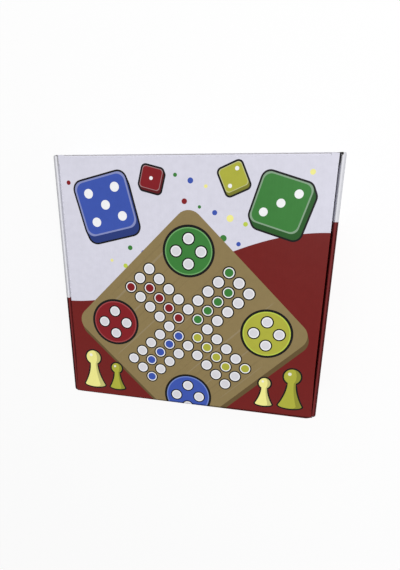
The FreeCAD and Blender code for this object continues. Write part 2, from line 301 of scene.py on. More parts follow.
class Finish:
    """A material or world, with short ways to add nodes to it. Lengths in it are millimetres."""

    def __init__(self, name, kind=bpy.data.materials, shader="Principled BSDF", **sockets):
        self.made = kind.new(name)
        self.made.use_nodes = True
        self.tree = self.made.node_tree
        self.shader = self.tree.nodes[shader]
        self.dress(**sockets)

    def dress(self, **sockets):
        for socket, value in sockets.items():
            self.put(self.shader.inputs[socket.replace("_", " ")], value)
        return self.made

    def put(self, socket, value):
        if isinstance(value, bpy.types.NodeSocket):
            self.tree.links.new(value, socket)
        else:
            socket.default_value = value

    def add(self, kind, inputs, output=0, **settings):
        """Adds a node and gives one of its outputs."""
        node = self.tree.nodes.new("ShaderNode" + kind)
        for name, value in settings.items():
            setattr(node, name, value)
        for socket, value in inputs.items():
            self.put(node.inputs[socket], value)
        return node.outputs[output]

    def maths(self, operation, first, second=0.0):
        return self.add("Math", {0: first, 1: second}, operation=operation)

    def times(self, first, *others):
        for other in others:
            first = self.maths("MULTIPLY", first, other)
        return first

    def seen(self):
        """1 for what the camera sees, straight, in gloss or through glass, and 0 for other light."""
        rays = self.tree.nodes.new("ShaderNodeLightPath").outputs
        seen = self.maths("MAXIMUM", rays["Is Camera Ray"], rays["Is Glossy Ray"])
        return self.maths("MAXIMUM", seen, rays["Is Transmission Ray"])

    def attribute(self, name, output):
        return self.add("Attribute", {}, output, attribute_name=name)

    def ink(self):
        return self.attribute("ink", "Color")

    def sheet(self):
        """Place on the flat sheet, across and along its flutes."""
        return self.add("UVMap", {}, uv_map="flutes")

    def place(self):
        return self.add("TexCoord", {}, "Object")

    def noise(self, vector, feature, detail=3.0):
        return self.add("TexNoise", {"Vector": vector, "Scale": 1 / (feature * MM), "Detail": detail})

    def stretched(self, vector, scale):
        return self.add("Mapping", {"Vector": vector, "Scale": scale})

    def spread(self, value, levels, results):
        """Value from one range to another, held at its ends."""
        sockets = ("Value", "From Min", "From Max", "To Min", "To Max")
        return self.add("MapRange", dict(zip(sockets, (value, *levels, *results))))

    def patches(self, vector, feature, levels, results, detail=3.0):
        return self.spread(self.noise(vector, feature, detail), levels, results)

    def mixed(self, share, first, second):
        return self.add("Mix", {0: share, 6: first, 7: second}, 2, data_type="RGBA")

    def shaded(self, colour, value):
        return self.add("HueSaturation", {"Color": colour, "Value": value})

    def bump(self, height, distance, below=None):
        inputs = {"Height": height, "Distance": distance * MM, "Strength": 1.0}
        if below is not None:
            inputs["Normal"] = below
        return self.add("Bump", inputs)

    def washboard(self, sheet):
        """Faint ridges of the flutes under a liner, from -1 to 1."""
        across = self.add("SeparateXYZ", {"Vector": sheet})
        return self.maths("SINE", self.times(across, 2 * pi / (FLUTE_PITCH * MM)))


def printed_finish():
    """Ink on a white liner under a thin film, darkened with painted shade and rubbed along the folds."""
    look = Finish("printed_liner", Specular_IOR_Level=0.12)
    sheet = look.sheet()
    ink = look.ink()
    wear_and_shade = look.attribute("wear_and_shade", "Fac")
    mottle = look.patches(sheet, 6.0, (0.25, 0.75), (0.965, 1.03))
    cloud = look.patches(sheet, 60.0, (0.3, 0.7), (0.98, 1.02), 1.0)
    # Painted shade: folds and roll ends are darkened where the wear and shade mask is high, more on light
    # inks
    painted_shade = look.patches(sheet, 5.0, (0.3, 0.7), (0.54, 0.7))
    brightness = look.add("RGBToBW", {"Color": ink})
    painted_shade = look.times(painted_shade, look.spread(brightness, (0.1, 0.6), (1.0, 0.34)), wear_and_shade)
    tone = look.shaded(ink, look.times(mottle, cloud))
    tone = look.shaded(tone, look.maths("SUBTRACT", 1.0, painted_shade))
    scuffs = look.patches(sheet, 1.6, (0.68, 0.8), (0.0, 0.25), 4.0)
    colour = look.mixed(look.times(scuffs, wear_and_shade), tone, FOLD_PAPER)
    gloss = look.patches(sheet, 12.0, (0.2, 0.8), (0.36, 0.5))
    gloss = look.maths("ADD", gloss, look.times(wear_and_shade, 0.5))
    relief = look.bump(look.washboard(sheet), 0.006)
    relief = look.bump(look.noise(sheet, 22.0, 1.0), 0.25, relief)
    relief = look.bump(look.noise(sheet, 0.5), 0.02, relief)
    return look.dress(Base_Color=colour, Roughness=gloss, Normal=relief)


def board_finish():
    """Unprinted liners, flutes and cut edges, matt and fibrous."""
    look = Finish("unprinted_board", Specular_IOR_Level=0.25, Roughness=0.88)
    sheet = look.sheet()
    ridges = look.washboard(sheet)
    fibres = look.noise(look.stretched(sheet, (3.0, 0.7, 1.0)), 1.4, 5.0)
    flecks = look.patches(sheet, 0.9, (0.7, 0.76), (1.0, 0.82), 1.0)
    tone = look.times(look.spread(fibres, (0.3, 0.7), (0.93, 1.05)), flecks)
    tone = look.times(tone, look.spread(ridges, (-1.0, 1.0), (0.975, 1.015)))
    relief = look.bump(fibres, 0.05, look.bump(ridges, 0.025))
    return look.dress(Base_Color=look.shaded(look.ink(), tone), Normal=relief)


def board_print_finish():
    """Inks on the play board, with its wood grain along X showing through."""
    look = Finish("play_board_print", Specular_IOR_Level=0.45)
    place = look.place()
    rings = look.patches(look.stretched(place, (0.09, 1.0, 1.0)), 5.0, (0.3, 0.7), (0.86, 1.1), 4.0)
    pores = look.patches(look.stretched(place, (0.04, 1.0, 1.0)), 0.9, (0.35, 0.65), (0.93, 1.04))
    grain = look.times(rings, pores)
    gloss = look.patches(place, 9.0, (0.2, 0.8), (0.3, 0.44))
    colour = look.shaded(look.ink(), grain)
    return look.dress(Base_Color=colour, Roughness=gloss, Normal=look.bump(grain, 0.06))


def board_edge_finish():
    look = Finish("play_board_edge", Specular_IOR_Level=0.3, Roughness=0.7)
    place = look.place()
    layers = look.noise(look.stretched(place, (0.2, 0.2, 2.4)), 1.6, 4.0)
    specks = look.patches(place, 0.7, (0.62, 0.75), (1.0, 0.72), 2.0)
    tone = look.times(look.spread(layers, (0.3, 0.7), (0.82, 1.12)), specks)
    return look.dress(Base_Color=look.shaded(SAWN_WOOD, tone), Normal=look.bump(layers, 0.08))


def plastic_finish(name, colour):
    """Moulded gloss plastic with faint flow marks and fine scratches."""
    look = Finish(name, Specular_IOR_Level=0.5, Coat_Weight=0.25, Coat_Roughness=0.08)
    place = look.place()
    flow = look.patches(place, 7.0, (0.3, 0.7), (0.9, 1.08), 2.0)
    gloss = look.patches(place, 2.5, (0.3, 0.75), (0.16, 0.34), 4.0)
    relief = look.bump(look.noise(place, 1.2, 2.0), 0.02)
    return look.dress(Base_Color=look.shaded(colour, flow), Roughness=gloss, Normal=relief)


def paper_finish():
    look = Finish("rules_print", Specular_IOR_Level=0.3, Roughness=0.8)
    fibres = look.noise(look.sheet(), 0.8, 5.0)
    colour = look.shaded(look.ink(), look.spread(fibres, (0.3, 0.7), (0.96, 1.03)))
    return look.dress(Base_Color=colour, Normal=look.bump(fibres, 0.03))


def grey(level):
    return level, level, level, 1.0


def floor_finish():
    """Floor that keeps the shadow, and is white where it is seen."""
    look = Finish("floor", Roughness=0.9, Specular_IOR_Level=0.1)
    seen = look.seen()
    look.dress(Base_Color=look.mixed(seen, grey(FLOOR_GREY), grey(FLOOR_WHITE)))
    glow = look.add("Emission", {"Color": grey(1.0), "Strength": 1.0})
    away = look.add("VectorMath", {0: look.place()}, "Value", operation="LENGTH")
    share = look.times(seen, look.spread(away, FLOOR_FADE, FLOOR_GLOW))
    mix = look.add("MixShader", {0: share, 1: look.shader.outputs["BSDF"], 2: glow})
    look.put(look.tree.nodes["Material Output"].inputs["Surface"], mix)
    return look.made


CARTON_FINISHES = (printed_finish(), board_finish())


# Points and lines

def smooth(share):
    held = max(0.0, min(1.0, share))
    return held * held * (3 - 2 * held)


def spaced(start, end, steps):
    return [start + (end - start) * step / steps for step in range(steps + 1)]


def jump(number, kind):
    return JUMPS[kind] * number % 1


def right_of(angle):
    return Vector((sin(angle), -cos(angle)))


def moved_on(point, centre, turn):
    """Point turned about the origin and then moved to a centre."""
    angle = radians(turn)
    x, y = point
    return centre[0] + x * cos(angle) - y * sin(angle), centre[1] + x * sin(angle) + y * cos(angle)


def arc(centre, radius, start, end, steps):
    angles = [radians(turn) for turn in spaced(start, end, steps)]
    return [(centre[0] + radius * cos(angle), centre[1] + radius * sin(angle)) for angle in angles]


def circle(centre, radius, corners=28):
    return arc(centre, radius, 0, 360, corners)[:-1]


def rectangle(low_u, high_u, low_s, high_s):
    return [(low_u, low_s), (high_u, low_s), (high_u, high_s), (low_u, high_s)]


def rounded_square(centre, half, radius, turn=0.0, steps=7):
    reach = half - radius
    points = []
    for number, (x, y) in enumerate(((reach, reach), (-reach, reach), (-reach, -reach), (reach, -reach))):
        points += arc((x, y), radius, 90 * number, 90 * (number + 1), steps)
    return [moved_on(point, centre, turn) for point in points]


def mirrored(right):
    return right + [(-u, s) for u, s in right[::-1]]


def guides_across(low, high, stops):
    return [((low, stop), (high, stop)) for stop in stops]


def guides_along(places, start, end):
    return [((place, start), (place, end)) for place in places]


def anticlockwise(points):
    area = sum(a[0] * b[1] - b[0] * a[1] for a, b in zip(points, points[1:] + points[:1]))
    return points if area > 0 else points[::-1]


def faces_between(ring, following):
    return list(zip(ring, ring[1:] + ring[:1], following[1:] + following[:1], following))


# Folded sheets

class Section:
    """Outer face of a folded sheet seen end on: straight lengths and (radius, turn) bends, walked in turn.

    The printed side is on the right of the walk. A turn to the left is positive, in degrees."""

    BEND_STEP = 15

    def __init__(self, start, heading, *steps):
        self.legs = []
        self.length = 0.0
        place = Vector(start)
        angle = radians(heading)
        for step in steps:
            radius, turn = step if isinstance(step, tuple) else (0.0, 0.0)
            length = radius * radians(abs(turn)) if radius else step
            leg = (self.length, self.length + length, place, angle, radius, copysign(1, turn))
            self.legs.append(leg)
            place, _, angle = self.on_leg(leg, length)
            self.length += length
        self.ends = [leg[:2] for leg in self.legs]

    @staticmethod
    def on_leg(leg, walk):
        """Point, outward normal and heading at a distance along one leg."""
        _, _, place, angle, radius, side = leg
        if not radius:
            ahead = Vector((cos(angle), sin(angle)))
            return place + walk * ahead, right_of(angle), angle
        centre = place - side * radius * right_of(angle)
        angle += side * walk / radius
        return centre + side * radius * right_of(angle), right_of(angle), angle

    def at(self, walk):
        """Point and outward normal at a distance along the walk."""
        for leg in self.legs:
            if walk <= leg[1]:
                break
        return self.on_leg(leg, walk - leg[0])[:2]

    def bends(self):
        return [leg[:2] for leg in self.legs if leg[4]]

    def stops(self):
        """Distances at which the sheet's mesh has an edge."""
        stops = set()
        for start, end, _, _, radius, _ in self.legs:
            if radius:
                steps = round(degrees((end - start) / radius) / self.BEND_STEP)
                stops.update(spaced(start, end, steps))
        return sorted(stops)


def folded(section, arrange):
    """How (u, s, depth) of a sheet is placed when it follows a section."""

    def place(u, s, depth):
        point, normal = section.at(s)
        a, b = point - depth * normal
        return arrange(u, a, b)

    return place


def pinched(place, distance, pinch):
    """Sheet squeezed near an edge, whose distance is given for each (u, s)."""
    length, share, side = pinch

    def squeezed(u, s, depth):
        squeeze = share * smooth(1 - distance(u, s) / length)
        return place(u, s, depth + squeeze * (side * SHEET - depth))

    return squeezed


def cut_out(outline, art, guides):
    """Triangles of an outline, cut along the art's edges and the guide lines, each with its ink.

    Art is a list of (ink, outline), painted in turn. An ink of None is a hole."""
    inside_only, tolerance = 1, 1e-5
    inks = [PAPER] + [ink for ink, _ in art]
    corners = []
    faces = []
    for loop in [outline] + [points for _, points in art]:
        faces.append(list(range(len(corners), len(corners) + len(loop))))
        corners += [Vector(point) for point in anticlockwise(loop)]
    edges = []
    for line in guides:
        edges.append((len(corners), len(corners) + 1))
        corners += [Vector(point) for point in line]
    found = delaunay_2d_cdt(corners, edges, faces, inside_only, tolerance)
    painted = []
    for triangle, sources in zip(found[2], found[5]):
        if 0 in sources and inks[max(sources)] is not None:
            painted.append((triangle, inks[max(sources)]))
    used = sorted({corner for triangle, _ in painted for corner in triangle})
    number = {corner: place for place, corner in enumerate(used)}
    triangles = [(tuple(number[corner] for corner in triangle), ink) for triangle, ink in painted]
    return [found[0][corner] for corner in used], triangles


def fold_wear_and_shade(bends):
    """Wear and painted shade on some bends, most in their middles."""

    def wear_and_shade(u, s):
        for start, end in bends:
            if start <= s <= end:
                return min(1.0, 2 * sin(pi * (s - start) / (end - start)))
        return 0.0

    return wear_and_shade


def new_object(name, data):
    made = bpy.data.objects.new(name, data)
    bpy.context.scene.collection.objects.link(made)
    return made


def new_mesh(name, shape):
    mesh = bpy.data.meshes.new(name)
    shape.to_mesh(mesh)
    shape.free()
    return mesh


class Panel:
    """One panel of board: its flat outline in (u, s), how that is placed once folded, and its mesh.

    across is the direction, u or s, in which the flutes follow each other."""

    def __init__(self, place, outline, across="u", guides=(), wear_and_shade=fold_wear_and_shade([])):
        self.place, self.outline, self.across = place, outline, across
        self.guides, self.wear_and_shade = guides, wear_and_shade
        self.points, self.grain, self.faces, self.looks = [], [], [], []

    def add_point(self, u, s, depth):
        self.points.append(Vector(self.place(u, s, depth)) * MM)
        self.grain.append((u * MM, s * MM) if self.across == "u" else (s * MM, u * MM))
        return len(self.points) - 1

    def add_face(self, corners, finish, ink, wear_and_shade=0.0):
        self.faces.append(corners)
        self.looks.append((finish, ink, wear_and_shade))

    def add_rings(self, rings, ink):
        for ring, following in zip(rings, rings[1:]):
            for corners in faces_between(ring, following):
                self.add_face(corners, 1, ink)

    def add_layer(self, depths, art=(), finishes=(0, 1), back=lambda u: RAW_EDGE):
        """Flat layer between two depths, with its art on the outer side. back gives the inner side's ink."""
        corners, triangles = cut_out(self.outline, list(art), self.guides)
        near, far = ([self.add_point(*corner, depth) for corner in corners] for depth in depths)
        rim = {}
        for (a, b, c), ink in triangles:
            middle = (corners[a] + corners[b] + corners[c]) / 3
            self.add_face((near[a], near[b], near[c]), finishes[0], ink, self.wear_and_shade(*middle))
            self.add_face((far[c], far[b], far[a]), finishes[1], back(middle.x))
            for edge in ((a, b), (b, c), (c, a)):
                if edge[::-1] in rim:
                    rim.pop(edge[::-1])
                else:
                    rim[edge] = ink
        for (a, b), ink in rim.items():
            self.add_face((near[b], near[a], far[a], far[b]), finishes[1], ink)

    def add_flutes(self, waves, reach, runs=1):
        """Wavy middle layer between the ends that reach gives, in straight runs that follow the sheet."""
        first, last = waves
        count = max(2, round((last - first) / FLUTE_PITCH * FLUTE_STEPS))
        swing = SHEET / 2 - LINER - MEDIUM / 2
        rings = []
        for wave in spaced(first, last, count):
            middle = SHEET / 2 + swing * sin(2 * pi * wave / FLUTE_PITCH)
            places = spaced(*reach(wave), runs)
            ring = []
            for side, alongs in ((-1, places), (1, places[::-1])):
                for along in alongs:
                    u, s = (wave, along) if self.across == "u" else (along, wave)
                    ring.append(self.add_point(u, s, middle + side * MEDIUM / 2))
            rings.append(ring)
        self.add_rings(rings, FLUTE_PAPER)
        for ring in (rings[0], rings[-1]):
            for run in range(runs):
                self.add_face((ring[run], ring[run + 1], ring[-run - 2], ring[-run - 1]), 1, FLUTE_PAPER)

    def add_board(self, art, holes=()):
        """Printed liner on the outside and plain liner on the inside."""
        self.add_layer((0.0, LINER), art)
        self.add_layer((SHEET, SHEET - LINER), [(INSIDE_PAPER, self.outline), *holes], finishes=(1, 1))

    def build(self, name, finishes=CARTON_FINISHES):
        mesh = bpy.data.meshes.new(name)
        mesh.from_pydata(self.points, [], self.faces)
        shape = bmesh.new()
        shape.from_mesh(mesh)
        bmesh.ops.recalc_face_normals(shape, faces=shape.faces)
        shape.to_mesh(mesh)
        shape.free()
        for finish in finishes:
            mesh.materials.append(finish)
        inks = mesh.color_attributes.new("ink", "FLOAT_COLOR", "CORNER")
        # Mask of wear and painted shade, read by the printed finish
        wear_and_shade_layer = mesh.attributes.new("wear_and_shade", "FLOAT", "FACE")
        flutes = mesh.uv_layers.new(name="flutes")
        for face, (finish, ink, wear_and_shade) in zip(mesh.polygons, self.looks):
            face.material_index = finish
            wear_and_shade_layer.data[face.index].value = wear_and_shade
            for loop in face.loop_indices:
                inks.data[loop].color = ink
                flutes.data[loop].uv = self.grain[mesh.loops[loop].vertex_index]
        mesh.shade_smooth()
        mesh.set_sharp_from_angle(angle=radians(SHARP_ANGLE))
        return new_object(name, mesh)


def attach(piece, body, slot, *nodes):
    """Puts a finished piece on its body, in place of its CAD nodes."""
    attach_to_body(piece, body)
    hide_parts(*nodes)


# Print of the carton

def field_edge(x):
    """Where the white field meets the red one."""
    held = max(-LID_HALF, min(LID_HALF, x))
    return FIELD_MIDDLE + FIELD_SWING * sin(pi / 2 * held / LID_HALF)


def red_field(far=220, step=6):
    edge = [(x, field_edge(x)) for x in range(-far, far + 1, step)]
    return [(-far, -far), (edge[-1][0], -far)] + edge[::-1]


def discs(centre, radii, inks, corners):
    return [(ink, circle(centre, radius, corners)) for radius, ink in zip(radii, inks)]


def ludo_track(centre, pitch, turn=0.0, corners=24):
    """Traditional cross track: forty steps, four homes and four goal rows."""
    shapes = []

    def add(place, radii, inks, detail):
        middle = moved_on([step * pitch for step in place], centre, turn)
        shapes.extend(discs(middle, [radius * pitch for radius in radii], inks, detail))

    def spot(place, ink=SPOT_GREY):
        add(place, SPOT_RADII, (BLACK, WHITE, ink), corners)

    for number, (ink, rim) in enumerate(zip(TEAM_INKS, TEAM_RIMS)):
        def quarter(i, j):
            for _ in range(number):
                i, j = j, -i
            return i, j

        add(quarter(-HOME_PLACE, HOME_PLACE), HOME_RADII, (BLACK, rim, ink), 2 * corners)
        for i, j in ((-1, -1), (-1, 1), (1, -1), (1, 1)):
            spot(quarter(i * HOME_SPOT - HOME_PLACE, j * HOME_SPOT + HOME_PLACE))
        for step in range(1, 6):
            spot(quarter(-1, step), ink if step == 5 else SPOT_GREY)
        spot(quarter(0, 5))
        for step in range(2, 6):
            spot(quarter(1, step))
        for step in range(1, 5):
            spot(quarter(0, step), ink)
    return shapes


def pip_places(count):
    """Places of the pips on one face, from its centre, in steps."""
    places = [(0, 0)] if count % 2 else []
    for least, pair in ((2, [(-1, -1), (1, 1)]), (4, [(-1, 1), (1, -1)]), (6, [(-1, 0), (1, 0)])):
        places += pair if count >= least else []
    return places


def mixed_ink(ink, other, share):
    return tuple(first + (second - first) * share for first, second in zip(ink, other))


def thick_square(centre, half, radius, turn, drop):
    """Outline of a square and of its edge, which shows below it."""
    points = rounded_square(centre, half, radius, turn)
    points += rounded_square((centre[0] + drop[0], centre[1] + drop[1]), half, radius, turn)
    return [points[number] for number in convex_hull_2d(points)]


def die_picture(centre, half, turn, count, ink):
    """Die with a dark outline, a shaded edge, a light rim and white pips."""
    drop = (0.1 * half, -0.24 * half)
    radius, face, spacing, pip = 0.3 * half, 0.94 * half, 0.52 * half, 0.17 * half
    shade, light = mixed_ink(ink, BLACK, 0.55), mixed_ink(ink, WHITE, 0.22)
    shapes = [
        (BLACK, thick_square(centre, half + OUTLINE, radius + OUTLINE, turn, drop)),
        (shade, thick_square(centre, half, radius, turn, drop)),
        (light, rounded_square(centre, half, radius, turn)),
        (ink, rounded_square(centre, face, radius, turn)),
    ]
    for i, j in pip_places(count):
        shapes.append((WHITE, circle(moved_on((spacing * i, spacing * j), centre, turn), pip)))
    return shapes


def pawn_outline(foot, height, grow=0.0, right_share=1.0, steps=9):
    """Side view of a pawn: foot, skirt and round head."""
    wide, neck, head_radius = 0.26 * height, 0.085 * height, 0.18 * height
    sill, neck_rise, head_rise = 0.07 * height, 0.62 * height, 0.8 * height
    skirt_curve = 1.8
    right = []
    for slope in spaced(0, 90, steps)[:-1]:
        angle = radians(slope)
        right.append(((wide + grow) * sin(angle), sill - (sill + grow) * cos(angle)))
    for share in spaced(0, 1, steps)[:-1]:
        width = neck + (wide - neck) * (1 - share) ** skirt_curve + grow
        right.append((width, sill + share * (neck_rise - sill)))
    start = degrees(asin(neck / head_radius)) - 90
    right += arc((0.0, head_rise), head_radius + grow, start, 90, steps)
    left = [(-x, y) for x, y in right[1:-1][::-1]]
    return [(foot[0] + x * (right_share if x > 0 else 1.0), foot[1] + y) for x, y in right + left]


def pawn_picture(foot, height, ink):
    glint = (foot[0] - 0.06 * height, foot[1] + 0.86 * height)
    shade, light = mixed_ink(ink, BLACK, 0.35), mixed_ink(ink, WHITE, 0.7)
    return [
        (BLACK, pawn_outline(foot, height, OUTLINE)),
        (shade, pawn_outline(foot, height)),
        (ink, pawn_outline(foot, height, right_share=0.5)),
        (light, circle(glint, 0.04 * height, 14)),
    ]


def wood_grain(centre, half, turn, rows=23):
    dark, light = mixed_ink(TAN, BLACK, 0.07), mixed_ink(TAN, WHITE, 0.05)
    shapes = []
    for row in range(rows):
        reach = half * (0.35 + 0.5 * jump(row, 0))
        waist = 0.4 + 0.9 * jump(row, 1)
        middle = (half - reach) * 0.9 * sin(2.4 * row)
        level = 0.95 * half * (2 * (row + 0.5) / rows - 1)
        lens = [(middle + reach * x, level + waist * y) for x, y in circle((0.0, 0.0), 1.0, 15)]
        shapes.append((dark if row % 3 else light, [moved_on(point, centre, turn) for point in lens]))
    return shapes


def confetti():
    shapes = []
    for number in range(DOTS):
        x = LID_HALF * (2 * jump(number, 0) - 1)
        y = DOT_REACH * jump(number, 1)
        radius = 1.4 + 1.9 * jump(number, 2)
        clear = all(dist((x, y), die[0]) > DIE_CLEARANCE * die[1] + radius for die in DICE)
        if clear and field_edge(x) + 2 * radius < y < DOT_TOP and abs(x) < LID_HALF - DOT_MARGIN:
            shapes.append((DOT_INKS[number % len(DOT_INKS)], circle((x, y), radius, 16)))
    return shapes


def lid_art():
    """Plain white and red fields, a plan of the game board, dice and pawns."""
    square = (PICTURE_CENTRE, PICTURE_HALF, PICTURE_CORNER, PICTURE_TURN)
    shapes = [(DEEP_RED, red_field())] + confetti()
    shapes += [(DARK_TAN, thick_square(*square, PICTURE_EDGE)), (TAN, rounded_square(*square))]
    shapes += wood_grain(PICTURE_CENTRE, PICTURE_HALF, PICTURE_TURN)
    shapes += ludo_track(PICTURE_CENTRE, PICTURE_PITCH, PICTURE_TURN)
    for die in DICE:
        shapes += die_picture(*die)
    for pawn in PAWNS:
        shapes += pawn_picture(*pawn)
    return shapes


LID_ART = lid_art()


def carried_art(length):
    """The lid's art, carried on over a sheet that ends at the hinge."""
    shift = length - HINGE.y
    return [(ink, [(x, y + shift) for x, y in points]) for ink, points in LID_ART]


def spot_row(level):
    shapes = []
    for number in range(WALL_SPOTS):
        middle = ((number - (WALL_SPOTS - 1) / 2) * WALL_SPOT_SPACING, level)
        shapes += discs(middle, WALL_SPOT_RADII, (BLACK, WHITE, TEAM_INKS[number % len(TEAM_INKS)]), 24)
    return shapes


# Carton

# Side wall seen end on: its foot, outer layer, roll in three legs and inner layer
SIDE = Section(
    (HALF_WIDTH - FOLD_RADIUS, 0.0), 0,
    (FOLD_RADIUS, 90), BOX_TOP - OUTER_ROLL - FOLD_RADIUS,
    (OUTER_ROLL, 90), HALF_WIDTH - INNER_LOW.x - OUTER_ROLL - INNER_ROLL, (INNER_ROLL, 90),
    BOX_TOP - INNER_ROLL - INNER_FOOT,
)
SIDE_FOOT, SIDE_WALL, OUTER_BEND, ROLL_TOP, INNER_BEND, SIDE_INNER = SIDE.ends
ROLL_START = OUTER_BEND[0]
ROLL_END = INNER_BEND[1]

# Wall at the hinge or at the tuck flap seen end on: its foot and its rise
END = Section((HALF_DEPTH - FOLD_RADIUS, 0.0), 0, (FOLD_RADIUS, 90), WALL_TOP - FOLD_RADIUS)
END_WALL = END.ends[1]


def side_arrangement(side):
    """Side wall along Y, with the ends of its roll crushed."""

    def arrange(u, a, b):
        near_end = max(0.0, min(1.0, 1 - (OUTER_HALF - abs(u)) / CRUSH_LENGTH))
        crush = (1 - sqrt(1 - near_end**2)) * smooth((b - BOX_TOP) / CRUSH_DEPTH + 1)
        share = (a - INNER_LOW.x) / (HALF_WIDTH - INNER_LOW.x)
        return side * (a - CRUSH_IN * crush * share), u, b - CRUSH_DOWN * crush

    return arrange


def side_outline(cut):
    """Outer wall, roll and inner wall in one, with lock tabs and a corner cut by the tuck wall."""
    foot = SIDE.length
    tab_foot = foot + INNER_FOOT - INNER_LOW.z
    outline = [(OUTER_HALF, 0.0), (OUTER_HALF, ROLL_TOP[0]), (cut, ROLL_TOP[1]), (cut, ROLL_END)]
    outline += [(INNER_HIGH.y, ROLL_END + ROLL_CUT_RUN), (INNER_HIGH.y, foot)]
    for centre in reversed(TAB_CENTRES):
        high, low = centre + TAB_LENGTH / 2, centre - TAB_LENGTH / 2
        outline += [(high, foot), (high, tab_foot), (low, tab_foot), (low, foot)]
    outline += [(-INNER_HIGH.y, foot), (-INNER_HIGH.y, ROLL_END + ROLL_STEP)]
    return outline + [(-OUTER_HALF, ROLL_END), (-OUTER_HALF, 0.0)]


def side_art(side):
    """White and red fields, lighter where the sheet is rolled, and a row of spots."""
    edge, far = WALL_EDGE[side], 2 * HALF_DEPTH
    shapes = [
        (FOLD_PAPER, rectangle(-far, far, ROLL_START, SIDE.length + SHEET)),
        (DEEP_RED, rectangle(-far, edge, -BLEED, ROLL_START)),
        (FOLD_RED, rectangle(-far, edge, ROLL_START, ROLL_END + INNER_BLEED)),
    ]
    return shapes + spot_row(sum(SIDE_WALL) / 2)


# Wear and painted shade of a side wall: on its folds, more on the left, and towards the crushed ends of its
# roll
def side_wear_and_shade(side):
    folds = fold_wear_and_shade([SIDE_FOOT, (ROLL_START, OUTER_BEND[1] + WEAR_AND_SHADE_REACH[side])])

    def wear_and_shade(u, s):
        level = folds(u, s)
        if ROLL_START <= s <= ROLL_END:
            level = max(level, smooth(END_WEAR_AND_SHADE_HOLD - (OUTER_HALF - abs(u)) / END_WEAR_AND_SHADE))
        return SIDE_WEAR_AND_SHADE[side] * level

    return wear_and_shade


def make_side(name, side):
    cut = OUTER_HALF - ROLL_CUT[side]
    guides = guides_across(-HALF_WIDTH, HALF_WIDTH, SIDE.stops())
    for share in CRUSH_STEPS:
        u = OUTER_HALF - CRUSH_LENGTH * (1 - share)
        guides += guides_along((u, -u), SIDE_WALL[1] - CRUSH_DEPTH, ROLL_END + CRUSH_DEPTH)
    panel = Panel(folded(SIDE, side_arrangement(side)), side_outline(cut), "s", guides, side_wear_and_shade(side))
    panel.add_board(side_art(side))
    panel.add_flutes(SIDE_WALL, lambda s: (-OUTER_HALF, OUTER_HALF))

    def inner_ends(s):
        share = min(1.0, (s - ROLL_END) / ROLL_CUT_RUN)
        return -INNER_HIGH.y, cut + share * (INNER_HIGH.y - cut)

    panel.add_flutes(SIDE_INNER, inner_ends)
    nodes = [f"{name}_side_{layer}" for layer in ("outer", "roll", "inner")]
    attach(panel.build(f"{name}_side_wall"), "carton", "printed_carton", *nodes)


def hinge_walk():
    """One round fold from the top of the hinge wall to the lid."""
    start = Vector((HALF_DEPTH, WALL_TOP))
    chord = Vector((-HINGE.y, BOX_TOP)) - start
    lean = degrees(atan2(chord.y, chord.x))
    radius = chord.length / 2 / sin(radians(HINGE_TURN / 2))
    return Section(start, lean - HINGE_TURN / 2, (radius, HINGE_TURN))


HINGE_FOLD = hinge_walk()


def hinge_bulge(u, b):
    """How far the hinge wall and its fold stand out."""
    rise = smooth((b - FOLD_RADIUS) / (HINGE.z - FOLD_RADIUS)) ** 3
    fade = smooth((BOX_TOP - b) / CREASE_BEND)
    end = HINGE_END_SHARE + (1 - HINGE_END_SHARE) * smooth((WALL_HALF - abs(u)) / HINGE_BULGE_END)
    return HINGE_BULGE * (1 + HINGE_SKEW * u / LID_HALF) * end * rise * (fade if b > HINGE.z else 1.0)


def bulge_guides(length):
    """Guide lines where the hinge's bulge dies out, and at the lid's sides."""
    ends = spaced(WALL_HALF, WALL_HALF - HINGE_BULGE_END, FADE_STEPS)[1:] + [LID_HALF]
    return guides_along([side * end for side in (-1, 1) for end in ends], 0.0, length)


def make_end_wall(name, side, art):
    half, top = WALL_HALF, END.length
    stops = END.stops() + [top - stop for stop in EDGE_STOPS]
    stops += [END_WALL[0] + WALL_STEP * step for step in range(1, WALL_STEPS + 1)]

    def arrange(u, a, b):
        bulge = hinge_bulge(u, b) if side < 0 else 0.0
        return u, side * (a + bulge), b

    def inside(u, s):
        return half - abs(u) + CORNER_EASE[1 if u > 0 else -1]

    place = pinched(folded(END, arrange), inside, CORNER_PINCH)
    place = pinched(place, lambda u, s: top - s, EDGE_PINCH)
    guides = guides_across(-half, half, stops) + bulge_guides(top)
    panel = Panel(place, rectangle(-half, half, 0.0, top), "u", guides, fold_wear_and_shade(END.bends()))
    panel.add_board(art)
    panel.add_flutes((-half, half), lambda u: END_WALL, WALL_RUNS)
    attach(panel.build(f"{name}_wall_board"), "carton", "printed_carton", f"{name}_wall")


def make_ear(name, side_x, side_y):
    length = EAR_HIGH.y - FOLD_RADIUS - EAR_LOW.y
    section = Section((EAR_HIGH.x, EAR_LOW.y), 90, length, (FOLD_RADIUS, 90))
    fold = section.length + CORNER_EASE[side_x]
    place = folded(section, lambda u, a, b: (side_x * a, side_y * b, u))
    place = pinched(place, lambda u, s: fold - s, CORNER_PINCH)
    outline = rectangle(EAR_LOW.z, EAR_HIGH.z, 0.0, section.length)
    guides = guides_across(EAR_LOW.z, EAR_HIGH.z, section.stops())
    panel = Panel(place, outline, "s", guides, fold_wear_and_shade(section.bends()))
    panel.add_board([(PAPER if side_y > 0 else DEEP_RED, outline)])
    panel.add_flutes(section.ends[0], lambda s: (EAR_LOW.z, EAR_HIGH.z))
    attach(panel.build(f"{name}_board"), "carton", "printed_carton", name)


def tab_slots():
    half = TAB_LENGTH / 2 + SLOT_GAP
    near, far = INNER_LOW.x - SLOT_GAP, INNER_HIGH.x + SLOT_GAP
    slots = []
    for low, high in ((-far, -near), (near, far)):
        slots += [(None, rectangle(low, high, centre - half, centre + half)) for centre in TAB_CENTRES]
    return slots


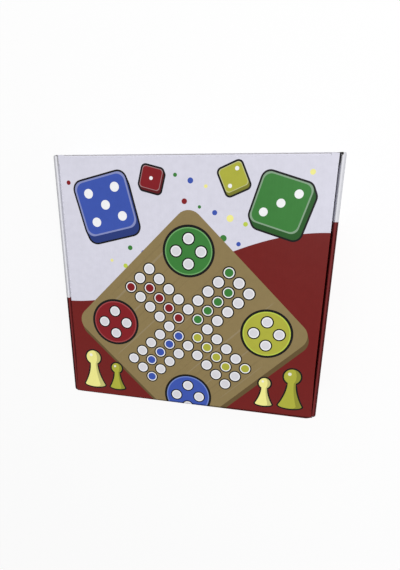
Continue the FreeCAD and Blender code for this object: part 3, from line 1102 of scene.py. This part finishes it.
def make_base():
    """Floor of the box, printed side down, with the slots for the lock tabs."""
    half_x, half_y = BASE_HIGH.x, BASE_HIGH.y
    panel = Panel(lambda u, s, depth: (u, s, depth), rectangle(-half_x, half_x, -half_y, half_y))
    slots = tab_slots()
    panel.add_board([(DEEP_RED, red_field())] + slots, slots)
    panel.add_flutes((-BASE_CORE, BASE_CORE), lambda u: (-half_y, half_y))
    attach(panel.build("base_board"), "carton", "printed_carton", "base_panel")


# Lid and its flaps

def make_lid():
    """Lid, a little longer at its front corners."""
    outline = mirrored([
        (HINGE_HALF, HINGE.y), (LID_HALF + DUST_FLARE, FLAP_BACK), (LID_SIDE, FLAP_BACK),
        (LID_SIDE, FLAP_FRONT), (LID_HALF, FLAP_FRONT), (LID_HALF, LID_CORNER),
        (FLAP_HALF, LID_CORNER), (FLAP_HALF, LID_FRONT),
    ])
    panel = Panel(lambda u, s, depth: (u, s, BOX_TOP - depth), outline)
    panel.add_board(LID_ART)
    panel.add_flutes((-FLAP_HALF, FLAP_HALF), lambda u: (HINGE.y, LID_FRONT))
    for side in (-1, 1):
        inner, middle, outer = side * FLAP_HALF, side * LID_SIDE, side * LID_HALF
        panel.add_flutes(sorted((inner, middle)), lambda u: (HINGE.y, LID_HIGH.y))
        panel.add_flutes(sorted((middle, outer)), lambda u: (FLAP_FRONT, LID_HIGH.y))
        panel.add_flutes(sorted((middle, outer)), lambda u: (HINGE.y, FLAP_BACK))
    attach(panel.build("lid_board"), "lid", "printed_lid", "lid_panel")


def flap_outline(low, high, length):
    """Flap with its round-cornered free edge at s = 0 and its crease at s = length."""
    right = arc((high - FLAP_CORNER, FLAP_CORNER), FLAP_CORNER, -90, 0, 8)
    left = [(low + high - u, s) for u, s in right[::-1]]
    return right + [(high, length), (low, length)] + left


def corner_cut(inside):
    """How far the round corner reaches in, at a distance inside the flap's end."""
    missing = max(0.0, FLAP_CORNER - inside)
    return FLAP_CORNER - sqrt(FLAP_CORNER**2 - missing**2)


def flap_field(side, low, length):
    return [(DEEP_RED, rectangle(low - BLEED, field_edge(side * LID_HALF), -BLEED, length + BLEED))]


def flare(u):
    """How far a dust flap springs out, most at its hinge end."""
    return DUST_FLARE * smooth(1 - (u - DUST_LOW.y) / DUST_FLARE_LENGTH)


def flare_guides(length):
    return guides_along(spaced(DUST_LOW.y, DUST_LOW.y + DUST_FLARE_LENGTH, FADE_STEPS)[1:], 0.0, length)


def make_dust_flap(name, side):
    low, high = DUST_LOW.y, DUST_HIGH.y
    length = DUST_CREASE.z - DUST_LOW.z
    section = Section((DUST_HIGH.x, DUST_LOW.z), 90, length)
    place = folded(section, lambda u, a, b: (side * (a + flare(u)), u, b))
    place = pinched(place, lambda u, s: length - s, CREASE_PINCH)
    guides = guides_across(low, high, [length - stop for stop in CREASE_STOPS]) + flare_guides(length)
    panel = Panel(place, flap_outline(low, high, length), "s", guides)
    panel.add_board(flap_field(side, low, length))
    panel.add_flutes((0.0, length), lambda s: (low + corner_cut(s), high - corner_cut(s)), DUST_RUNS)
    attach(panel.build(f"{name}_board"), name, "printed_lid", name)


def tuck_flap_start():
    """Crease and free edge of the tuck flap's outer face, and its heading up to the crease."""
    heading = 90 - TUCK_FLAP_LEAN
    angle = radians(heading)
    crease = Vector((TUCK_CREASE.y, TUCK_CREASE.z)) + SHEET / 2 * right_of(angle)
    return crease, crease - TUCK_FLAP_LENGTH * Vector((cos(angle), sin(angle))), heading


def tuck_arrangement(u, a, b):
    """The tuck flap and its crease, which bulges towards the wall."""
    rise = smooth((b - TUCK_CREASE.z) / TUCK_BULGE_LENGTH + 1)
    fade = smooth((BOX_TOP - b) / (BOX_TOP - TUCK_CREASE.z)) if b > TUCK_CREASE.z else 1.0
    return u, a + TUCK_BULGE * rise * fade, b


def make_tuck_flap():
    half, length = TUCK_FLAP_HALF, TUCK_FLAP_LENGTH
    _, start, heading = tuck_flap_start()
    place = folded(Section(start, heading, length), tuck_arrangement)
    guides = guides_across(-half, half, spaced(length - TUCK_BULGE_LENGTH, length, FADE_STEPS)[:-1])
    panel = Panel(place, flap_outline(-half, half, length), "u", guides)
    panel.add_board([])
    panel.add_flutes((-half, half), lambda u: (corner_cut(half - abs(u)), length), FLAP_RUNS)
    attach(panel.build("tuck_flap_board"), "tuck_flap", "printed_lid", "tuck_flap")


def crease_back_with_painted_shade(u):
    """Inner side of a crease, inked dark red as painted shade where it shows beside the lid."""
    return INSIDE_PAPER if abs(u) < LID_HALF else DEEP_RED


def make_crease(name, section, arrange, outline, art, bodies, guides=(), wear_and_shade=fold_wear_and_shade([])):
    """Creased strip of board, built in its folded shape where it joins two parts."""
    low = min(u for u, _ in outline)
    high = max(u for u, _ in outline)
    place = folded(section, arrange)
    guides = guides_across(low, high, section.stops()) + list(guides)
    panel = Panel(place, outline, "u", guides, wear_and_shade)
    panel.add_layer((0.0, CREASE_SHELL), art, back=crease_back_with_painted_shade)
    strip = panel.build(name)
    middle = (low + high) / 2
    start = Vector(place(middle, 0.0, 0.0)) * MM
    end = Vector(place(middle, section.length, 0.0)) * MM
    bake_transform(strip)


def make_hinge_crease():
    """As wide as the wall where it starts, and clear of the rolled side walls at the lid."""
    length = HINGE_FOLD.length
    start, end = (share * length for share in SHOULDER_SHARES)
    outline = mirrored([(WALL_HALF, 0.0), (WALL_HALF, start), (HINGE_HALF, end), (HINGE_HALF, length)])
    make_crease(
        "hinge_crease", HINGE_FOLD, lambda u, a, b: (u, -a - hinge_bulge(u, b), b), outline,
        carried_art(length), ("carton", "lid"), bulge_guides(length), fold_wear_and_shade(HINGE_FOLD.bends()),
    )


def make_dust_crease(name, side):
    section = Section((DUST_HIGH.x, DUST_CREASE.z), 90, (CREASE_BEND, 90), CREASE_CLEARANCE)
    low, high = DUST_LOW.y - CREASE_SPARE, DUST_HIGH.y + CREASE_SPARE

    def arrange(u, a, b):
        share = max(0.0, (a - LID_SIDE) / (DUST_HIGH.x - LID_SIDE))
        return side * (a + flare(u) * share), u, b

    make_crease(
        f"{name}_dust_crease", section, arrange, rectangle(low, high, 0.0, section.length),
        flap_field(side, low, section.length), (f"{name}_dust_flap", "lid"), flare_guides(section.length),
    )


def make_tuck_crease():
    crease, _, heading = tuck_flap_start()
    section = Section(crease, heading, (CREASE_BEND, 90 + TUCK_FLAP_LEAN), CREASE_CLEARANCE)
    half = TUCK_FLAP_HALF + CREASE_SPARE
    outline = rectangle(-half, half, 0.0, section.length)
    make_crease("tuck_crease", section, tuck_arrangement, outline, [], ("tuck_flap", "lid"))


# The game inside

def make_play_board():
    middle = (BOARD_LOW + BOARD_HIGH) / 2
    half = (BOARD_HIGH.x - BOARD_LOW.x) / 2
    thickness = BOARD_HIGH.z - BOARD_LOW.z
    centre = (middle.x, middle.y)

    def ring(inset):
        return rounded_square(centre, half - inset, BOARD_CORNER - inset)

    face = ring(BOARD_EASE)
    panel = Panel(lambda u, s, depth: (u, s, BOARD_HIGH.z - depth), face)
    corners, triangles = cut_out(face, [(TAN, face)] + ludo_track(centre, BOARD_PITCH), ())
    first = [panel.add_point(*corner, 0.0) for corner in corners]
    for triangle, ink in triangles:
        panel.add_face([first[corner] for corner in triangle], 0, ink)
    levels = arc((BOARD_EASE, BOARD_EASE), BOARD_EASE, 270, 180, EASE_STEPS)
    levels += [(inset, thickness - drop) for inset, drop in levels[::-1]]
    rings = [[panel.add_point(*point, drop) for point in ring(inset)] for inset, drop in levels]
    panel.add_rings(rings, TAN)
    panel.add_face(rings[-1], 1, TAN)
    piece = panel.build("printed_play_board", (board_print_finish(), board_edge_finish()))
    attach(piece, "play_board", "board_wood", "play_board")


def refinish(node, finish):
    """Gives a CAD node that stays in view a better material."""
    materials = frame["nodes"][node].data.materials
    materials.clear()
    materials.append(finish)


def make_pawns():
    for name, colour in PAWN_PLASTICS.items():
        finish = plastic_finish(f"{name}_pawn_plastic", colour)
        for number in range(1, 5):
            refinish(f"{name}_pawn_{number}", finish)


def make_die():
    """White die, and dark paint in the hollows of its pips."""
    refinish("die", plastic_finish("die_plastic", DIE_WHITE))
    half = (DIE_HIGH.z - DIE_LOW.z) / 2
    centre = (DIE_LOW + DIE_HIGH) / 2
    turn_all = Matrix.Rotation(radians(DIE_TURN), 3, "Z")
    shape = bmesh.new()
    for count, axis, tilt in DIE_FACES:
        turn = turn_all @ Matrix.Rotation(radians(tilt), 3, axis)
        for i, j in pip_places(count):
            add_pip(shape, turn, centre, (i * PIP_SPACING, j * PIP_SPACING, half))
    mesh = new_mesh("die_pip_paint", shape)
    mesh.shade_smooth()
    mesh.materials.append(plastic_finish("pip_paint", PIP_PAINT))
    piece = new_object("die_pip_paint", mesh)
    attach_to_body(piece, "die")


def add_pip(shape, turn, centre, place, rings=4, corners=20):
    """Lens of paint that lines one hollow: a bowl below and a shallower bowl above it."""
    x, y, half = place
    ball = (PIP_DIAMETER**2 / 4 + PIP_DEPTH**2) / (2 * PIP_DEPTH)
    reach = asin(PIP_DIAMETER / 2 / ball)
    angles = [2 * pi * corner / corners for corner in range(corners)]

    def ring(slope, lift, angles=angles):
        radius = ball * sin(slope)
        height = half + ball - PIP_DEPTH - ball * cos(slope) + lift
        points = [Vector((x + radius * cos(a), y + radius * sin(a), height)) for a in angles]
        return [shape.verts.new((centre + turn @ point) * MM) for point in points]

    rim = ring(reach, 0.0)
    for lift in (PAINT_LIFT, 2 * PAINT_LIFT):
        outer = rim
        for number in range(rings - 1, 0, -1):
            inner = ring(reach * number / rings, lift)
            for face in faces_between(outer, inner):
                shape.faces.new(face)
            outer = inner
        tip = ring(0.0, lift, [0.0])[0]
        for a, b in zip(outer, outer[1:] + outer[:1]):
            shape.faces.new((a, b, tip))
    bmesh.ops.recalc_face_normals(shape, faces=shape.faces)


def rules_art(section):
    """Grey bars and a small track on the top leaf, with no words."""
    middle = sum(section.ends[4]) / 2
    shapes = [(RULES_PAPER, rectangle(-RULES_HIGH.x, RULES_HIGH.x, 0.0, section.length))]
    shapes += ludo_track((RULES_TRACK_INSET - RULES_HIGH.x, middle), RULES_TRACK_PITCH, 0, 12)
    for column, width in RULES_COLUMNS:
        for row in range(RULES_LINES):
            s = middle + RULES_FIRST_LINE + row * RULES_LINE_PITCH
            end = column + width * (SHORT_LINE if row % 4 == 3 else 1.0)
            shapes.append((PRINT_GREY, rectangle(column, end, s, s + RULES_LINE)))
    return shapes


def make_rules():
    """Strip of paper folded in three, its top leaf sprung up a little."""
    half = RULES_HIGH.x
    height = RULES_HIGH.z - RULES_LOW.z
    depth = RULES_HIGH.y - RULES_LOW.y
    bend = (height - PAPER_LEAF) / 4
    leaf = depth - 2 * bend
    section = Section(
        (RULES_HIGH.y - bend, RULES_LOW.z + PAPER_LEAF), 180,
        leaf, (bend, -180), leaf, (bend, 180), leaf,
    )
    stops = section.stops() + spaced(*section.ends[4], BOW_STEPS)[1:-1]

    def bowed(u, a, b):
        share = max(0.0, min(1.0, (a - RULES_LOW.y) / depth))
        lift = PAPER_BOW * smooth((b - RULES_LOW.z) / height) ** 2 * sin(pi * share)
        return u, a, b + lift

    outline = rectangle(-half, half, 0.0, section.length)
    panel = Panel(folded(section, bowed), outline, "u", guides_across(-half, half, stops))
    panel.add_layer((0.0, PAPER_LEAF), rules_art(section), (0, 0), lambda u: RULES_PAPER)
    piece = panel.build("rules_paper", (paper_finish(),))
    attach(piece, "rules_sheet", "rules_paper", "rules_sheet")


# Stage, light and camera

def make_camera():
    right = CAMERA_RIGHT.normalized()
    back = right.cross(CAMERA_UP).normalized()
    up = back.cross(right)
    lens = bpy.data.cameras.new("camera")
    lens.sensor_width = SENSOR
    lens.lens = SENSOR * FOCAL_PIXELS / IMAGE_LONG_SIDE
    lens.clip_start = NEAREST
    camera = new_object("camera", lens)
    turn = Matrix((right, up, back)).transposed().to_4x4()
    camera.matrix_world = Matrix.Translation(CAMERA_PLACE * MM) @ turn
    bpy.context.scene.camera = camera


def make_lamp():
    light = bpy.data.lights.new("key", "AREA")
    light.size = LAMP_SIZE
    light.energy = LAMP_POWER
    lamp = new_object("key", light)
    lamp.location = LAMP_PLACE
    lamp.rotation_mode = "QUATERNION"
    lamp.rotation_quaternion = (-LAMP_PLACE).to_track_quat("-Z", "Y")


def make_world():
    """Soft light from all round, which is white where it is seen."""
    sky = Finish("studio", bpy.data.worlds, "Background", Color=grey(1.0))
    bpy.context.scene.world = sky.dress(Strength=sky.maths("MAXIMUM", sky.seen(), SKY_STRENGTH))


def make_floor():
    shape = bmesh.new()
    bmesh.ops.create_grid(shape, x_segments=1, y_segments=1, size=FLOOR_HALF)
    mesh = new_mesh("floor", shape)
    mesh.materials.append(floor_finish())
    floor = new_object("floor", mesh)
    floor.location.z = -FLOOR_DROP


for side_name, side_x in SIDES.items():
    make_side(side_name, side_x)
make_end_wall("tuck", 1, spot_row(sum(END_WALL) / 2))
make_end_wall("hinge", -1, carried_art(END.length + HINGE_FOLD.length))
for side_name, side_x in SIDES.items():
    make_ear(f"{side_name}_tuck_ear", side_x, 1)
    make_ear(f"{side_name}_hinge_ear", side_x, -1)
make_base()
make_lid()
for side_name, side_x in SIDES.items():
    make_dust_flap(f"{side_name}_dust_flap", side_x)
make_tuck_flap()
make_hinge_crease()
for side_name, side_x in SIDES.items():
    make_dust_crease(side_name, side_x)
make_tuck_crease()
make_play_board()
make_pawns()
make_die()
make_rules()
make_floor()
make_world()
make_lamp()
make_camera()
bpy.context.scene.view_settings.view_transform = "Standard"
